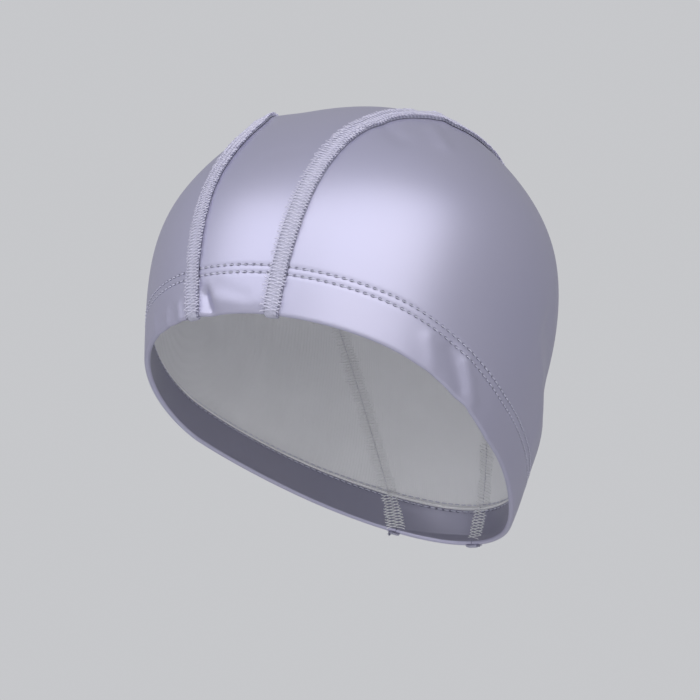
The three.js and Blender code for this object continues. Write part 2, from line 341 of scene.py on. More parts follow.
def seam_lane(side, end, offset):
    """The lane of a seam, moved out from the strip's edge by offset."""

    def lane(step):
        along = end * step
        edge = strip_size("shift", along) + side * strip_size("half", along)
        apart = dome_point(edge + PROBE, along) - dome_point(edge - PROBE, along)
        return edge + side * offset * 2 * PROBE / length_of(apart), along

    return lane


def strip_lane(end, share):
    """A lane of the strip, at a share of the way from its right seam to its left one."""
    right, left = (seam_lane(side, end, -GAP / 2) for side in (-1, 1))

    def lane(step):
        across, along = right(step)
        return across + (left(step)[0] - across) * share, along

    return lane


def side_lane(side, share):
    """A lane of a side panel, fanning out from the middle of its seam."""
    seams = [seam_lane(side, end, GAP / 2) for end in (-1, 1)]
    middle = float(seams[0](np.array(0.0))[0])
    rims = [lane(step_above(lane, np.array(0.0))) for lane in seams]
    first, last = (float(direction_of(*rim)) for rim in rims)
    direction = first + (last - first) * share
    rim_across, rim_along = np.sin(direction), -np.cos(direction)

    def lane(step):
        bend = 0
        for (across, along), seam, fade in zip(rims, seams, (1 - share, share)):
            seam_across = seam(step * abs(along))[0]
            straight = middle + step * (across - middle)
            bend = bend + (seam_across - straight) * fade**BEND_FADE
        across = middle + step * (rim_across - middle) + bend
        return across, step * rim_along

    return lane


# The lanes round the rim, each with the end or the side that it is made for
PANELS = [(strip_lane, -1), (strip_lane, 1), (side_lane, 1), (side_lane, -1)]


def needle_pull(height):
    """How far the two rows of hem stitches pull the cloth in."""
    pulls = [np.exp(-(((height - row) / NEEDLE_PULL_WIDTH) ** 2)) for row in NEEDLE_ROWS]
    return NEEDLE_PULL * sum(pulls)


def wall_along(lane, columns):
    """The rows of a panel's wall from the cap's middle to the rim, for lanes side by side: outer
    points, the rim's fold, inner points, and the heights of the outer rows above the rim."""
    full = np.ones(columns)
    top = HEM_HEIGHT + CLOSE_ROWS_ABOVE_HEM
    plain_end = step_above(lane, top * full)
    plain = [lane(plain_end * i / PLAIN_ROWS) for i in range(PLAIN_ROWS)]
    outer = [wall_point(across, along, 0) for across, along in plain]
    inner = [wall_point(across, along, CLOTH) for across, along in plain]
    heights = [top * (1 + MAP_GROWTH * (1 - i / PLAIN_ROWS)) for i in range(PLAIN_ROWS)]
    for height in np.linspace(top, CLOTH, HEM_ROWS + 1):
        across, along = lane(step_above(lane, height * full))
        outer.append(wall_point(across, along, needle_pull(height)))
        doubling = np.clip((HEM_HEIGHT - height) / HEM_EDGE, 0, 1)
        inner.append(wall_point(across, along, CLOTH * (1 + doubling) - needle_pull(height) / 2))
        heights.append(height)
    fold = []
    for i in range(1, TURN_STEPS):
        turned = math.pi * i / TURN_STEPS
        across, along = lane(step_above(lane, CLOTH * (1 - math.sin(turned)) * full))
        fold.append(wall_point(across, along, CLOTH * (1 - math.cos(turned))))
    return outer, fold, inner, heights


def arc_from_start(points):
    steps = length_of(np.diff(points, axis=0))
    return np.concatenate([[0], np.cumsum(steps)])


def make_mesh(name, points, faces, finishes, face_finish, map_points):
    """A mesh object at the origin from points and faces, with its finishes and its own UV map."""
    mesh = bpy.data.meshes.new(name)
    mesh.from_pydata(points.tolist(), [], faces)
    for finish in finishes:
        mesh.materials.append(finish)
    mesh.polygons.foreach_set("material_index", face_finish)
    mesh.polygons.foreach_set("use_smooth", [True] * len(mesh.polygons))
    corners = np.empty(len(mesh.loops), np.int32)
    mesh.loops.foreach_get("vertex_index", corners)
    layer = mesh.uv_layers.new(name="cloth")
    layer.data.foreach_set("uv", map_points[corners].astype(np.float32).ravel())
    mesh.validate()
    mesh.set_sharp_from_angle(angle=math.radians(CREASE_ANGLE))
    obj = bpy.data.objects.new(name, mesh)
    bpy.context.scene.collection.objects.link(obj)
    return obj


def panel_rows(parts):
    """Joins the rows of one or two walls into closed loops round the cloth. Returns the loops'
    points and map places, and the finish of each row."""
    points, places, row_finish = [], [], []
    for row, height, arc, finish in parts:
        points.append(row)
        places.append(np.stack([arc, np.full(len(arc), height)], axis=-1))
        row_finish.append(finish)
    return np.stack(points, axis=1), np.stack(places, axis=1), row_finish


# The finish of a row of the wall, as its place among the cloth's finishes. The inside of the hem has
# painted shade in its colours.
RIGHT_SIDE, WRONG_SIDE, HEM_INSIDE_SHADED = range(3)


def wall_parts(wall, arc, skip):
    """A wall's rows in order from its middle over the outer face, round the rim and back up."""
    outer, fold, inner, heights = wall
    parts = [(row, height, arc, RIGHT_SIDE) for row, height in zip(outer[skip:], heights[skip:])]
    parts += [(row, 0, arc, RIGHT_SIDE) for row in fold]
    # Below the hem's edge the inner rows take the turned-in finish, whose darker colours are painted
    # shade
    for row, height in list(zip(inner, heights))[skip:][::-1]:
        above = height > HEM_HEIGHT - HEM_EDGE
        parts.append((row, height, arc, WRONG_SIDE if above else HEM_INSIDE_SHADED))
    return parts


def finish_between(first, second):
    """A face's finish from its two rows': the wrong side first, then the inside of the hem."""
    return WRONG_SIDE if WRONG_SIDE in (first, second) else max(first, second)


def outward(points, faces):
    """The faces, all turned round where they enclose a volume below 0."""
    fans = [(f[0], f[i], f[i + 1]) for f in faces for i in range(1, len(f) - 1)]
    first, second, third = (points[list(corner)] for corner in zip(*fans))
    volume = np.sum(first * np.cross(second, third))
    return faces if volume > 0 else [face[::-1] for face in faces]


def strip_panel():
    """The strip: lanes to the brow and to the nape, side by side from one seam to the other."""
    shares = np.linspace(0, 1, STRIP_COLUMNS + 1)
    walls = [wall_along(strip_lane(end, shares), len(shares)) for end in (-1, 1)]
    arcs = [arc_from_start(wall[0][-1]) for wall in walls]
    brow = wall_parts(walls[0], arcs[0], 0)
    nape = wall_parts(walls[1], arcs[1], 1)
    rows = len(walls[0][0])
    turned = len(walls[0][1])
    # From the brow's rim over the crown to the nape's rim, and back on the inside
    parts = brow[:rows][::-1] + nape + brow[rows + turned:][::-1] + brow[rows:rows + turned][::-1]
    points, places, row_finish = panel_rows(parts)
    columns, count = points.shape[:2]
    index = np.arange(columns * count).reshape(columns, count)
    faces, finish = [], []
    for i in range(columns - 1):
        for k in range(count):
            n = (k + 1) % count
            faces.append([index[i, k], index[i, n], index[i + 1, n], index[i + 1, k]])
            finish.append(finish_between(row_finish[k], row_finish[n]))
    for column, back in ((0, True), (columns - 1, False)):
        ends = wall_end_faces(index[column], rows, turned)
        faces += [face[::-1] for face in ends] if back else ends
        finish += [RIGHT_SIDE] * len(ends)
    flat = points.reshape(-1, 3)
    faces = outward(flat, [[int(i) for i in face] for face in faces])
    return make_mesh(
        "centre_panel_cloth", flat, faces, cloth_finishes(), finish, places.reshape(-1, 2)
    )


def wall_end_faces(ring, rows, turned):
    """The flat end of the strip's wall, between its outer and its inner rows."""
    outer_count = 2 * rows - 1
    outer = ring[:outer_count]
    fold = ring[outer_count:outer_count + turned]
    inner = ring[outer_count + turned:outer_count * 2 + turned][::-1]
    first_fold = ring[outer_count * 2 + turned:]
    faces = []
    for i in range(outer_count - 1):
        faces.append([outer[i + 1], outer[i], inner[i], inner[i + 1]])
    faces.append([inner[-1], *fold[::-1], outer[-1]])
    faces.append([outer[0], *first_fold[::-1], inner[0]])
    return faces


def side_panel(side, name):
    """A side panel: lanes that fan out from the middle of its seam to the rim."""
    shares = np.linspace(0, 1, SIDE_COLUMNS + 1)
    wall = wall_along(side_lane(side, shares), len(shares))
    arc = arc_from_start(wall[0][-1])
    points, places, row_finish = panel_rows(wall_parts(wall, arc, 1))
    columns, count = points.shape[:2]
    poles = np.array([wall[0][0][0], wall[2][0][0]])
    pole_places = np.array([[arc[-1] / 2, wall[3][0]]] * 2)
    outer_pole, inner_pole = columns * count, columns * count + 1
    index = np.arange(columns * count).reshape(columns, count)
    faces, finish = [], []
    for i in range(columns - 1):
        faces.append([outer_pole, index[i, 0], index[i + 1, 0]])
        finish.append(RIGHT_SIDE)
        for k in range(count - 1):
            faces.append([index[i, k], index[i, k + 1], index[i + 1, k + 1], index[i + 1, k]])
            finish.append(finish_between(row_finish[k], row_finish[k + 1]))
        faces.append([inner_pole, index[i + 1, -1], index[i, -1]])
        finish.append(WRONG_SIDE)
    rows = len(wall[0]) - 1
    for column, back in ((0, True), (columns - 1, False)):
        outer = [outer_pole, *index[column, :rows]]
        fold = list(index[column, rows:count - rows])
        inner = [inner_pole, *index[column, count - rows:][::-1]]
        ends = [[outer[i + 1], outer[i], inner[i], inner[i + 1]] for i in range(rows)]
        ends.append([inner[-1], *fold[::-1], outer[-1]])
        faces += [face[::-1] for face in ends] if back else ends
        finish += [RIGHT_SIDE] * len(ends)
    flat = np.concatenate([points.reshape(-1, 3), poles])
    faces = outward(flat, [[int(i) for i in face] for face in faces])
    places = np.concatenate([places.reshape(-1, 2), pole_places])
    return make_mesh(name, flat, faces, cloth_finishes(), finish, places)


def seam_stations(side):
    """Evenly spaced steps along a seam from the crown to the rim's fold, to each end."""
    steps = []
    for end in (-1, 1):
        lane = seam_lane(side, end, 0)
        rim = float(step_above(lane, np.array(CLOTH)))
        fine = np.linspace(0, rim, BAND_STEPS)
        arc = arc_from_start(wall_point(*lane(fine), 0))
        count = int(arc[-1] / BAND_SPACING)
        steps.append(np.interp(np.linspace(0, arc[-1], count + 1), arc, fine))
    return steps


def seam_band(side, name):
    """The seam's band: slightly domed, rounded at its edges and turned in under the rim."""
    offsets = np.linspace(-0.5, 0.5, BAND_COLUMNS + 1)
    crown = np.sqrt(np.clip(1 - (2 * offsets) ** 4, 0, 1))
    offsets = np.concatenate([offsets, offsets[1:-1][::-1]]) * SEAM_WIDTH
    outside = np.concatenate([GAP + SEAM_THICKNESS * crown, np.full(BAND_COLUMNS - 1, GAP)])
    rows = []
    for end, steps in zip((-1, 1), seam_stations(side)):
        lane = seam_lane(side, end, offsets)
        half_rows = list(wall_point(*lane(np.repeat(steps[:, None], len(offsets), 1)), -outside))
        for i in range(1, TURN_STEPS // 2 + 1):
            turned = math.pi * i / TURN_STEPS
            radius = CLOTH + outside
            step = step_above(lane, CLOTH - radius * math.sin(turned))
            half_rows.append(wall_point(*lane(step), CLOTH - radius * math.cos(turned)))
        rows.append(half_rows)
    rings = np.array(rows[0][::-1] + rows[1][1:])
    count, around = rings.shape[:2]
    centres = rings[:, BAND_COLUMNS // 2]
    arc = arc_from_start(centres)
    places = np.stack(np.broadcast_arrays(offsets[None, :], arc[:, None]), axis=-1)
    index = np.arange(count * around).reshape(count, around)
    faces = []
    for i in range(count - 1):
        for k in range(around):
            n = (k + 1) % around
            faces.append([index[i, k], index[i, n], index[i + 1, n], index[i + 1, k]])
    faces.append(list(index[0][::-1]))
    faces.append(list(index[-1]))
    flat = rings.reshape(-1, 3)
    faces = outward(flat, [[int(i) for i in face] for face in faces])
    return make_mesh(
        name, flat, faces, [seam_finish()], [0] * len(faces), places.reshape(-1, 2)
    )


# Threads


def tube_mesh(name, paths, radius):
    """Threads along paths: tubes that are thinner at their ends."""
    points, faces = [], []
    for path in paths:
        path = np.asarray(path, float)
        ways = np.gradient(path, axis=0)
        ways /= length_of(ways)[:, None]
        start = len(points)
        for i, (place, way) in enumerate(zip(path, ways)):
            side = np.cross(way, [0, 0, 1.0])
            side /= np.linalg.norm(side)
            up = np.cross(side, way)
            thin = TUBE_END if i in (0, len(path) - 1) else 1
            for k in range(TUBE_SIDES):
                turn = 2 * math.pi * k / TUBE_SIDES
                ring = math.cos(turn) * side + math.sin(turn) * up
                points.append(place + radius * thin * ring)
        for i in range(len(path) - 1):
            for k in range(TUBE_SIDES):
                a = start + i * TUBE_SIDES + k
                b = start + i * TUBE_SIDES + (k + 1) % TUBE_SIDES
                faces.append([a, b, b + TUBE_SIDES, a + TUBE_SIDES])
        last = start + (len(path) - 1) * TUBE_SIDES
        faces.append([start + k for k in range(TUBE_SIDES)][::-1])
        faces.append([last + k for k in range(TUBE_SIDES)])
    faces = outward(np.array(points), faces)
    mesh = bpy.data.meshes.new(name)
    mesh.from_pydata([tuple(p) for p in points], [], faces)
    mesh.polygons.foreach_set("use_smooth", [True] * len(mesh.polygons))
    obj = bpy.data.objects.new(name, mesh)
    bpy.context.scene.collection.objects.link(obj)
    return obj


def hem_stitch():
    """One needle stitch: a short thread that dips into the cloth at both ends."""
    along = np.linspace(-0.5, 0.5, STITCH_POINTS)
    rise = THREAD_RADIUS * (THREAD_RISE - THREAD_DIP * along**2)
    return [np.stack([along * STITCH_LENGTH, along * 0, rise], axis=-1)]


def cross_threads(side):
    """One repeat of a seam's threads: over the band and back. They reach past the band on the
    strip's side and to its edge on the other."""
    sweep = np.linspace(0, 1, LOOP_POINTS)
    swing = np.cos(math.pi * sweep)
    half = np.where(swing * side > 0, STRIP_REACH, SIDE_REACH) * SEAM_WIDTH
    wave = LOOP_RADIUS * np.sin(3 * math.pi * sweep)
    over = np.stack([
        (sweep - 0.5) * LOOP_PITCH * LOOP_SLANT,
        half * swing,
        LOOP_RADIUS + 0.5 * wave - EDGE_DROP * swing**4,
    ], axis=-1)
    back = over * [-1, 1, 1] + [LOOP_PITCH * 0.5, 0, 0.5 * LOOP_RADIUS]
    return [over, back]


def row_tree():
    """Puts a thread on every point of a row, turned as the point says, a little unevenly."""
    tree = bpy.data.node_groups.new("thread_row", "GeometryNodeTree")
    face = tree.interface
    face.new_socket("Row", in_out="INPUT", socket_type="NodeSocketGeometry")
    face.new_socket("Thread", in_out="INPUT", socket_type="NodeSocketObject")
    uneven = face.new_socket("Unevenness", in_out="INPUT", socket_type="NodeSocketFloat")
    uneven.default_value = HEM_UNEVENNESS
    seed = face.new_socket("Seed", in_out="INPUT", socket_type="NodeSocketInt")
    seed.default_value = THREAD_SEED
    face.new_socket("Finish", in_out="INPUT", socket_type="NodeSocketMaterial")
    face.new_socket("Threads", in_out="OUTPUT", socket_type="NodeSocketGeometry")
    nodes, links = tree.nodes, tree.links
    source = nodes.new("NodeGroupInput")
    thread = nodes.new("GeometryNodeObjectInfo")
    turn = nodes.new("GeometryNodeInputNamedAttribute")
    turn.data_type = "FLOAT_VECTOR"
    turn.inputs["Name"].default_value = "turn"
    rotation = nodes.new("FunctionNodeEulerToRotation")
    least = nodes.new("ShaderNodeMath")
    least.operation = "SUBTRACT"
    least.inputs[0].default_value = 1
    most = nodes.new("ShaderNodeMath")
    most.operation = "ADD"
    most.inputs[0].default_value = 1
    size = nodes.new("FunctionNodeRandomValue")
    size.data_type = "FLOAT"
    place = nodes.new("GeometryNodeInstanceOnPoints")
    real = nodes.new("GeometryNodeRealizeInstances")
    finish = nodes.new("GeometryNodeSetMaterial")
    out = nodes.new("NodeGroupOutput")
    links.new(source.outputs["Row"], place.inputs["Points"])
    links.new(source.outputs["Thread"], thread.inputs["Object"])
    links.new(thread.outputs["Geometry"], place.inputs["Instance"])
    links.new(turn.outputs["Attribute"], rotation.inputs["Euler"])
    links.new(rotation.outputs["Rotation"], place.inputs["Rotation"])
    links.new(source.outputs["Unevenness"], least.inputs[1])
    links.new(source.outputs["Unevenness"], most.inputs[1])
    floats = [socket for socket in size.inputs if socket.type == "VALUE"]
    links.new(least.outputs[0], floats[0])
    links.new(most.outputs[0], floats[1])
    links.new(source.outputs["Seed"], size.inputs["Seed"])
    values = [socket for socket in size.outputs if socket.type == "VALUE"]
    links.new(values[0], place.inputs["Scale"])
    links.new(place.outputs["Instances"], real.inputs["Geometry"])
    links.new(real.outputs["Geometry"], finish.inputs["Geometry"])
    links.new(source.outputs["Finish"], finish.inputs["Material"])
    links.new(finish.outputs["Geometry"], out.inputs["Threads"])
    return tree


def raw_edge(finish):
    """The cut edge of the turned-in cloth, round the inside of the hem."""
    paths = []
    for maker, which in PANELS:
        lane = maker(which, np.linspace(0, 1, RAW_EDGE_STEPS))
        across, along = lane(step_above(lane, np.full(RAW_EDGE_STEPS, HEM_HEIGHT)))
        paths.append(wall_point(across, along, RAW_EDGE_DEPTH))
    edge = tube_mesh("hem_raw_edge", paths, RAW_EDGE_RADIUS)
    edge.data.materials.append(finish)
    return edge


def turn_of(way, up):
    """The turn that puts a thread's length along way and its top along up."""
    side = np.cross(up, way)
    side /= np.linalg.norm(side)
    way = np.cross(side, up)
    matrix = Matrix([list(way), list(side), list(up)]).transposed()
    return tuple(matrix.to_euler("XYZ"))


def thread_row(name, places, turns, unit_paths, radius, finish, tree, unevenness=HEM_UNEVENNESS):
    """A row of threads as one plain mesh."""
    points = bpy.data.meshes.new(name + "_row")
    points.from_pydata([tuple(place) for place in places], [], [])
    attribute = points.attributes.new("turn", "FLOAT_VECTOR", "POINT")
    attribute.data.foreach_set("vector", np.array(turns, np.float32).ravel())
    carrier = bpy.data.objects.new(name + "_row", points)
    bpy.context.scene.collection.objects.link(carrier)
    unit = tube_mesh(name + "_unit", unit_paths, radius)
    modifier = carrier.modifiers.new("threads", "NODES")
    modifier.node_group = tree
    inputs = {item.name: item.identifier for item in tree.interface.items_tree}
    modifier[inputs["Thread"]] = unit
    modifier[inputs["Unevenness"]] = unevenness
    modifier[inputs["Finish"]] = finish
    bpy.context.view_layer.update()
    graph = bpy.context.evaluated_depsgraph_get()
    mesh = bpy.data.meshes.new_from_object(carrier.evaluated_get(graph))
    mesh.name = name
    obj = bpy.data.objects.new(name, mesh)
    bpy.context.scene.collection.objects.link(obj)
    for helper in (carrier, unit):
        bpy.data.objects.remove(helper)
    return obj


def hem_rows(inside):
    """Fine lines along the two needle rows round the hem, with their normals."""
    lines = []
    for maker, which in PANELS:
        lane = maker(which, np.linspace(0, 1, HEM_LINE_STEPS))
        for height in NEEDLE_ROWS:
            across, along = lane(step_above(lane, np.full(HEM_LINE_STEPS, height)))
            doubled = 2 if height < HEM_HEIGHT else 1
            depth = CLOTH * doubled - NEEDLE_PULL / 2 if inside else NEEDLE_PULL
            up = normal_of(cloth_point, across, along) * (-1 if inside else 1)
            lines.append((wall_point(across, along, depth), up))
    return lines


def row_of(lines, pitch):
    """The places and turns of threads a pitch apart along lines."""
    places, turns = [], []
    for points, ups in lines:
        arc = arc_from_start(points)
        at = np.arange(pitch / 2, arc[-1], pitch)
        spots, tops = (
            np.stack([np.interp(at, arc, values[:, axis]) for axis in range(3)], axis=-1)
            for values in (points, ups)
        )
        ways = np.gradient(spots, axis=0)
        for spot, way, top in zip(spots, ways / length_of(ways)[:, None], tops):
            places.append(spot)
            turns.append(turn_of(way, top / np.linalg.norm(top)))
    return places, turns


def seam_line(side, inside):
    """A fine line along a seam from rim to rim, over the band or on the wrong side of the cloth."""
    points, ups = [], []
    for end in (-1, 1):
        lane = seam_lane(side, end, 0)
        rim = float(step_above(lane, np.array(2 * CLOTH if inside else CLOTH)))
        hem = float(step_above(lane, np.array(HEM_HEIGHT)))
        steps = np.linspace(0, rim, SEAM_LINE_STEPS)
        across, along = lane(steps)
        if inside:
            depth = np.where(steps > hem, 2 * CLOTH, CLOTH)
        else:
            depth = -GAP - THREAD_SEAT * SEAM_THICKNESS
        points.append(wall_point(across, along, depth))
        ups.append(normal_of(cloth_point, across, along) * (-1 if inside else 1))
    line = np.concatenate([points[0][::-1], points[1][1:]])
    return line, np.concatenate([ups[0][::-1], ups[1][1:]])


# Finishes: colours, the scales of their patterns per metre and the depths of their relief
COATED = dict(
    cool=(0.52, 0.515, 0.70),
    warm=(0.57, 0.55, 0.69),
    # Colours of the coated side turned in at the hem: painted shade, darker than the outside because
    # the cap shades it
    inner_shaded_cool=(0.31, 0.31, 0.41),
    inner_shaded_warm=(0.34, 0.33, 0.41),
    # Needle holes of the hem's stitches: this colour and share are painted shade in the holes
    hole_shade=(0.08, 0.08, 0.13),
    hole_shade_share=0.7,
    hole_depth=0.35 * MM,
    mottle=14,
    grain=1100,
    grain_depth=0.06 * MM,
    roughness=0.44,
    metallic=0.65,
    coat=0.2,
)
KNIT = dict(
    dark=(0.80, 0.80, 0.82),
    light=(0.90, 0.90, 0.92),
    mottle=40,
    rib=380,
    rib_bend=1.2,
    rib_depth=0.12 * MM,
    roughness=0.85,
    sheen=0.25,
)
SEAM = dict(
    dark=(0.33, 0.33, 0.44),
    light=(0.60, 0.59, 0.72),
    # Painted shade: dark dots at the needle holes along the band's edges
    hole_shade=(0.20, 0.20, 0.29),
    speckle=700,
    cells=1500,
    cell_depth=0.25 * MM,
    roughness=0.75,
    sheen=0.2,
)
HEM_THREAD = dict(dark=(0.54, 0.54, 0.67), light=(0.70, 0.70, 0.82))
SEAM_THREAD = dict(dark=(0.49, 0.48, 0.64), light=(0.86, 0.84, 0.97))
SPUN = dict(speckle=900, depth=0.05 * MM, roughness=0.55, sheen=0.15)
COAT_ROUGHNESS = 0.35


def finish_tree(name, roughness, metallic, coat=0.0, sheen=0.0):
    """A finish with its shader, and its Object coordinates for patterns."""
    finish = bpy.data.materials.new(name)
    finish.use_nodes = True
    nodes, links = finish.node_tree.nodes, finish.node_tree.links
    shader = nodes["Principled BSDF"]
    shader.inputs["Roughness"].default_value = roughness
    shader.inputs["Metallic"].default_value = metallic
    shader.inputs["Coat Weight"].default_value = coat
    shader.inputs["Coat Roughness"].default_value = COAT_ROUGHNESS
    shader.inputs["Sheen Weight"].default_value = sheen
    place = nodes.new("ShaderNodeTexCoord")
    return finish, nodes, links, shader, place


def math_node(nodes, links, operation, first, second=None):
    """One step of arithmetic on node outputs or numbers."""
    node = nodes.new("ShaderNodeMath")
    node.operation = operation
    for socket, value in zip(node.inputs, (first, second)):
        if value is None:
            continue
        if isinstance(value, (int, float)):
            socket.default_value = value
        else:
            links.new(value, socket)
    return node.outputs[0]


def noise_node(nodes, links, vector, scale, detail):
    noise = nodes.new("ShaderNodeTexNoise")
    noise.inputs["Scale"].default_value = scale
    noise.inputs["Detail"].default_value = detail
    links.new(vector, noise.inputs["Vector"])
    return noise.outputs["Fac"]


def mix_colours(nodes, links, share, first, second):
    """A colour between two, each a node output or a colour."""
    mix = nodes.new("ShaderNodeMix")
    mix.data_type = "RGBA"
    colour_inputs = [socket for socket in mix.inputs if socket.type == "RGBA"]
    links.new(share, mix.inputs[0])
    for socket, value in zip(colour_inputs, (first, second)):
        if isinstance(value, tuple):
            socket.default_value = (*value, 1)
        else:
            links.new(value, socket)
    return [socket for socket in mix.outputs if socket.type == "RGBA"][0]


def bump_node(nodes, links, height, distance, strength, normal=None):
    bump = nodes.new("ShaderNodeBump")
    bump.inputs["Strength"].default_value = strength
    bump.inputs["Distance"].default_value = distance
    links.new(height, bump.inputs["Height"])
    if normal is not None:
        links.new(normal, bump.inputs["Normal"])
    return bump.outputs["Normal"]


def needle_holes(nodes, links):
    """1 at the needle holes of both rows of hem stitches, by the cloth's own map."""
    places = nodes.new("ShaderNodeUVMap")
    places.uv_map = "cloth"
    split = nodes.new("ShaderNodeSeparateXYZ")
    links.new(places.outputs["UV"], split.inputs[0])
    along, height = split.outputs[0], split.outputs[1]
    turns = math_node(nodes, links, "DIVIDE", along, STITCH_PITCH)
    share = math_node(nodes, links, "PINGPONG", turns, 0.5)
    off_along = math_node(nodes, links, "MULTIPLY", share, STITCH_PITCH / HOLE_LENGTH)
    holes = None
    for row in NEEDLE_ROWS:
        off = math_node(nodes, links, "SUBTRACT", height, row)
        off_height = math_node(nodes, links, "DIVIDE", off, HOLE_WIDTH)
        square = math_node(nodes, links, "MULTIPLY", off_height, off_height)
        square_along = math_node(nodes, links, "MULTIPLY", off_along, off_along)
        away = math_node(nodes, links, "ADD", square, square_along)
        near = math_node(nodes, links, "SUBTRACT", 1, away)
        near = math_node(nodes, links, "MAXIMUM", near, 0)
        holes = near if holes is None else math_node(nodes, links, "ADD", holes, near)
    return holes


def edge_hole_shade_mask(nodes, links):
    """1 at the needle holes along both edges of a seam's band, by the band's own map, where painted
    shade darkens the band.
    """
    places = nodes.new("ShaderNodeUVMap")
    places.uv_map = "cloth"
    split = nodes.new("ShaderNodeSeparateXYZ")
    links.new(places.outputs["UV"], split.inputs[0])
    offset = math_node(nodes, links, "ABSOLUTE", split.outputs[0])
    off = math_node(nodes, links, "SUBTRACT", offset, SEAM_HOLE_PLACE)
    off = math_node(nodes, links, "DIVIDE", off, SEAM_HOLE_WIDTH)
    turns = math_node(nodes, links, "DIVIDE", split.outputs[1], SEAM_HOLE_PITCH)
    along = math_node(nodes, links, "PINGPONG", turns, 0.5)
    along = math_node(nodes, links, "MULTIPLY", along, 2)
    square = math_node(nodes, links, "MULTIPLY", off, off)
    square_along = math_node(nodes, links, "MULTIPLY", along, along)
    away = math_node(nodes, links, "ADD", square, square_along)
    near = math_node(nodes, links, "SUBTRACT", SEAM_HOLE_REACH, away)
    return math_node(nodes, links, "MAXIMUM", math_node(nodes, links, "MINIMUM", near, 1), 0)


# Finishes that several pieces share, kept once made
_made = {}


def coated_finish(name, cool, warm):
    """The coated right side of the cloth, with the needle holes of the hem's stitches, which dip in
    its relief and are darkened with painted shade.
    """
    coated, nodes, links, shader, place = finish_tree(
        name, COATED["roughness"], COATED["metallic"], COATED["coat"]
    )
    broad = noise_node(nodes, links, place.outputs["Object"], COATED["mottle"], 2)
    fine = noise_node(nodes, links, place.outputs["Object"], COATED["grain"], 2)
    holes = needle_holes(nodes, links)
    colour = mix_colours(nodes, links, broad, cool, warm)
    # Painted shade: the needle holes are darkened
    dark = math_node(nodes, links, "MULTIPLY", holes, COATED["hole_shade_share"])
    colour = mix_colours(nodes, links, dark, colour, COATED["hole_shade"])
    links.new(colour, shader.inputs["Base Color"])
    grain = bump_node(nodes, links, fine, COATED["grain_depth"], 0.25)
    dips = math_node(nodes, links, "MULTIPLY", holes, -1)
    relief = bump_node(nodes, links, dips, COATED["hole_depth"], 0.8, grain)
    links.new(relief, shader.inputs["Normal"])
    return coated


def cloth_finishes():
    """The coated right side of the cloth, its uncoated knitted wrong side, and the coated side
    turned in at the hem, in darker colours that are painted shade, in the order of the rows'
    finishes."""
    if "cloth" in _made:
        return _made["cloth"]
    coated = coated_finish("coated_cloth", COATED["cool"], COATED["warm"])
    # Darker colours: painted shade inside the hem
    turned_in_shaded = coated_finish("hem_inside_shaded", COATED["inner_shaded_cool"], COATED["inner_shaded_warm"])
    knit, nodes, links, shader, place = finish_tree(
        "knitted_side", KNIT["roughness"], 0, sheen=KNIT["sheen"]
    )
    rib = nodes.new("ShaderNodeTexWave")
    rib.inputs["Scale"].default_value = KNIT["rib"]
    rib.inputs["Distortion"].default_value = KNIT["rib_bend"]
    rib.inputs["Detail"].default_value = 1
    links.new(place.outputs["Object"], rib.inputs["Vector"])
    broad = noise_node(nodes, links, place.outputs["Object"], KNIT["mottle"], 3)
    colour = mix_colours(nodes, links, broad, KNIT["dark"], KNIT["light"])
    links.new(colour, shader.inputs["Base Color"])
    relief = bump_node(nodes, links, rib.outputs["Fac"], KNIT["rib_depth"], 0.5)
    links.new(relief, shader.inputs["Normal"])
    _made["cloth"] = [coated, knit, turned_in_shaded]
    return _made["cloth"]


def seam_finish():
    """The band under the seam's threads: matte and speckled, with dots of painted shade at the needle
    holes along its edges.
    """
    if "seam" in _made:
        return _made["seam"]
    finish, nodes, links, shader, place = finish_tree(
        "seam_band", SEAM["roughness"], 0, sheen=SEAM["sheen"]
    )
    holes = edge_hole_shade_mask(nodes, links)
    cells = nodes.new("ShaderNodeTexVoronoi")
    cells.inputs["Scale"].default_value = SEAM["cells"]
    links.new(place.outputs["Object"], cells.inputs["Vector"])
    speckle = noise_node(nodes, links, place.outputs["Object"], SEAM["speckle"], 3)
    colour = mix_colours(nodes, links, speckle, SEAM["dark"], SEAM["light"])
    # Painted shade at the needle holes
    colour = mix_colours(nodes, links, holes, colour, SEAM["hole_shade"])
    links.new(colour, shader.inputs["Base Color"])
    relief = bump_node(nodes, links, cells.outputs["Distance"], SEAM["cell_depth"], 0.6)
    links.new(relief, shader.inputs["Normal"])
    _made["seam"] = finish
    return finish


def thread_finish(name, dark, light):
    """Spun sewing thread."""
    finish, nodes, links, shader, place = finish_tree(name, SPUN["roughness"], 0, sheen=SPUN["sheen"])
    speckle = noise_node(nodes, links, place.outputs["Object"], SPUN["speckle"], 2)
    colour = mix_colours(nodes, links, speckle, dark, light)
    links.new(colour, shader.inputs["Base Color"])
    links.new(bump_node(nodes, links, speckle, SPUN["depth"], 0.4), shader.inputs["Normal"])
    return finish


# The camera: found from the outline, rim, seams and hem in the photograph, its focal length in
# pixels of the photograph. Angles are in degrees.
PICTURE_WIDTH = 700
FOCAL_PIXELS = 2402.252
SENSOR_WIDTH = 36
CAMERA = dict(
    azimuth=34.790, elevation=-11.208, roll=6.283, distance=0.972287,
    right=2.255 * MM, up=4.305 * MM, lens=FOCAL_PIXELS / PICTURE_WIDTH * SENSOR_WIDTH,
)


def camera_axes():
    """The camera's right, up and back."""
    a, e, r = (math.radians(CAMERA[key]) for key in ("azimuth", "elevation", "roll"))
    back = np.array([
        math.sin(a) * math.cos(e), -math.cos(a) * math.cos(e), math.sin(e)
    ])
    right = np.cross(-back, [0, 0, 1])
    right /= np.linalg.norm(right)
    up = np.cross(right, -back)
    return (
        right * math.cos(r) + up * math.sin(r),
        up * math.cos(r) - right * math.sin(r),
        back,
    )


